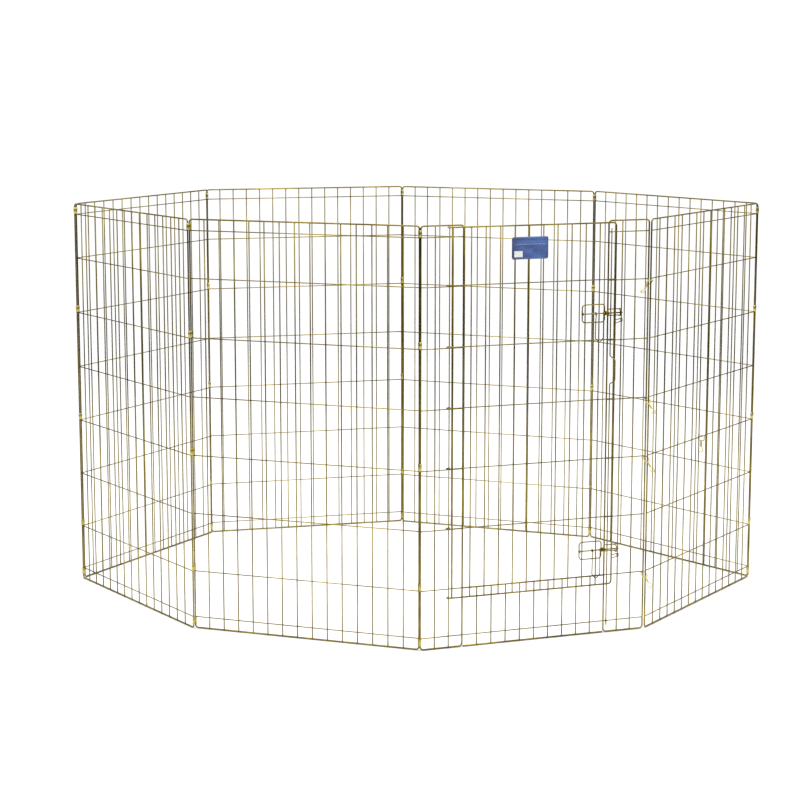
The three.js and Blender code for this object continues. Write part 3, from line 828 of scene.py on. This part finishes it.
def clips():
    low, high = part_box("corner_1_clip_1")
    strip = clip_mesh((high.z - low.z) / MM)
    for corner in range(1, 8):
        near, far = last_rod(corner), first_rod(corner + 1)
        place = standing((near + far) / 2, (far - near).normalized())
        for level in range(1, 6):
            node = f"corner_{corner}_clip_{level}"
            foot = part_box(node)[0].z
            data = strip.copy()
            data.name = node + "_strip"
            data.transform(Matrix.Translation((0, 0, foot)) @ place)
            show(data, f"panel_{corner}", "clip_zinc", node)


def snap_route(bow=0.0, turned=0.0):
    """One bent wire: an eye, two legs side by side, and a thumb loop that stops short of a leg."""
    side, end, leg = SNAP["across"] / 2, SNAP["along"] / 2, SNAP["leg"]
    foot = end + SNAP["shank"]
    tip = foot + SNAP["loop"]
    half, rise = THUMB["half"], THUMB["rise"]
    corners = [at(leg, foot, 0), at(leg, end, 0), at(side, end, 0), at(side, -end, 0),
               at(-side, -end, 0), at(-side, end, 0), at(-leg, end, 0), at(-leg, foot, 0),
               at(-half, foot + rise, 0),
               at(-half, tip, 0), at(half, tip, 0), at(half, foot + rise, 0)]
    route = rounded(corners, SNAP["bend"], 4)
    for point in route:
        share = max(0.0, (point.y - end) / (tip - end))
        point.x += bow * math.sin(math.pi * min(1.0, share * 1.5))
        point.x += turned * max(0.0, share - 0.55) ** 2
    return route


def snaps():
    along = (PLACES[8].col[0].xyz + PLACES[1].col[0].xyz).normalized()
    for number in range(1, 5):
        centre = Vector(JOINTS[f"corner_snap_{number}_turn"]["pos_m"])
        facing = math.pi if number == 1 else 0.0
        lean = Matrix.Rotation(facing, 4, "Z") @ Matrix.Rotation(-SNAP["tilt"], 4, "X")
        piece = Piece(standing(centre, along) @ lean)
        piece.wire(snap_route(), SNAP["wire"])
        piece.stand_for(f"snap_{number}", "clip_zinc", f"corner_snap_{number}", materials=(BRIGHT, BEAD))
    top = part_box("spare_snap")[1].z
    place = PLACES[8]
    turn = Matrix((-place.col[1].xyz, -UP, place.col[0].xyz)).transposed().to_4x4()
    hang = Vector(JOINTS["spare_snap_swing"]["pos_m"])
    hang.z = top - (SNAP["along"] / 2 + SNAP["wire"]) * MM
    piece = Piece(Matrix.Translation(hang) @ turn)
    piece.wire(snap_route(bow=1.4, turned=14.0), SNAP["wire"])
    piece.stand_for("spare_snap", "clip_zinc", "spare_snap", materials=(BRIGHT, BEAD))


# ---- stage, in metres ----------------------------------------------------------------------------
FLOOR = {"radius": 14.0, "below": 0.0005, "solid": 2.2, "gone": 6.5}
LAMP = (1.0, 0.99, 0.97)
BACKDROP = 1.05  # how bright the backdrop is to the camera
HORIZON = 0.05
CEILING = 1.5
ROOM = ((0.1, HORIZON), (0.22, 0.5), (0.4, CEILING))  # the wires' room: height of direction, then shade


def floor():
    """A pale floor that fades out into the backdrop well away from the pen."""
    bpy.ops.mesh.primitive_circle_add(
        vertices=96, radius=FLOOR["radius"], fill_type="NGON", location=(0, 0, -FLOOR["below"]))
    ground = bpy.context.object
    ground.name = "floor"
    nodes = Nodes("pale_floor")
    tone = nodes.noise("Object", (1, 1, 1), 3.0, 4.0)
    nodes.link(nodes.ramp(tone, [(0.3, (0.67, 0.67, 0.668)), (0.7, (0.7, 0.7, 0.698))]),
               nodes.shader.inputs["Base Color"])
    nodes.shader.inputs["Roughness"].default_value = 0.8
    nodes.shader.inputs["Specular IOR Level"].default_value = 0.2
    length = nodes.add("VectorMath", operation="LENGTH")
    nodes.link(nodes.coordinates("Object", (1, 1, 1)), length.inputs[0])
    fade = nodes.add("MapRange", interpolation_type="SMOOTHSTEP")
    fade.inputs["From Min"].default_value = FLOOR["solid"]
    fade.inputs["From Max"].default_value = FLOOR["gone"]
    fade.inputs["To Min"].default_value = 1.0
    fade.inputs["To Max"].default_value = 0.0
    nodes.link(length.outputs["Value"], fade.inputs["Value"])
    nodes.link(fade.outputs["Result"], nodes.shader.inputs["Alpha"])
    ground.data.materials.append(nodes.material)


def area_light(name, place, target, size, energy, colour):
    data = bpy.data.lights.new(name, "AREA")
    data.shape = "RECTANGLE"
    data.size, data.size_y = size
    data.energy = energy
    data.color = colour
    light = bpy.data.objects.new(name, data)
    bpy.context.scene.collection.objects.link(light)
    light.location = place
    light.rotation_euler = (Vector(target) - Vector(place)).to_track_quat("-Z", "Y").to_euler()
    return light


def studio():
    """A white backdrop to the eye, but a dim room with a bright ceiling to the plated wires."""
    world = bpy.data.worlds.new("studio")
    bpy.context.scene.world = world
    world.use_nodes = True
    tree = world.node_tree
    room = tree.nodes["Background"]
    split = tree.nodes.new("ShaderNodeSeparateXYZ")
    tree.links.new(tree.nodes.new("ShaderNodeTexCoord").outputs["Generated"], split.inputs["Vector"])
    shades = tree.nodes.new("ShaderNodeValToRGB")
    for height, shade in ROOM:
        shades.color_ramp.elements.new(height).color = (shade, shade, shade * 1.02, 1)
    shades.color_ramp.elements[0].color = (HORIZON, HORIZON, HORIZON, 1)
    shades.color_ramp.elements[-1].color = (CEILING, CEILING, CEILING, 1)
    tree.links.new(split.outputs["Z"], shades.inputs["Fac"])
    tree.links.new(shades.outputs["Color"], room.inputs["Color"])
    seen = tree.nodes.new("ShaderNodeBackground")
    seen.inputs["Color"].default_value = (1.0, 1.0, 1.0, 1)
    seen.inputs["Strength"].default_value = BACKDROP
    choice = tree.nodes.new("ShaderNodeMixShader")
    tree.links.new(tree.nodes.new("ShaderNodeLightPath").outputs["Is Camera Ray"], choice.inputs["Fac"])
    tree.links.new(room.outputs["Background"], choice.inputs[1])
    tree.links.new(seen.outputs["Background"], choice.inputs[2])
    tree.links.new(choice.outputs["Shader"], tree.nodes["World Output"].inputs["Surface"])
    area_light("overhead", (-0.4, -0.6, 4.4), (0, 0, 0.2), (2.8, 2.8), 150.0, LAMP)
    area_light("front_left", (-3.6, -3.4, 2.6), (0, 0, 0.5), (0.5, 2.2), 7.0, LAMP)
    bpy.context.scene.view_settings.view_transform = "Standard"


CAMERA = {"place": (-1.774, -5.163, 1.499), "down": 8.4, "turn": -18.49, "lens": 88.65, "shift": -0.08}


def camera():
    data = bpy.data.cameras.new("camera")
    data.lens = CAMERA["lens"]
    data.sensor_width = 36.0
    data.shift_y = CAMERA["shift"]
    made = bpy.data.objects.new("camera", data)
    bpy.context.scene.collection.objects.link(made)
    made.location = CAMERA["place"]
    made.rotation_euler = (math.radians(90 - CAMERA["down"]), 0, math.radians(CAMERA["turn"]))
    bpy.context.scene.camera = made


camera()
for number in range(2, 9):
    plain_panel(number)
latch_stile()
stile(PANEL_WIDTH - STILE).stand_for("panel_1", "wire_zinc", "panel_1_hinge_stile")
sill()
door()
card()
for which, height in LATCH_HEIGHTS.items():
    guide(which, height)
    bolt(which, height)
    handle(which, height)
lock_rod()
clips()
snaps()
floor()
studio()
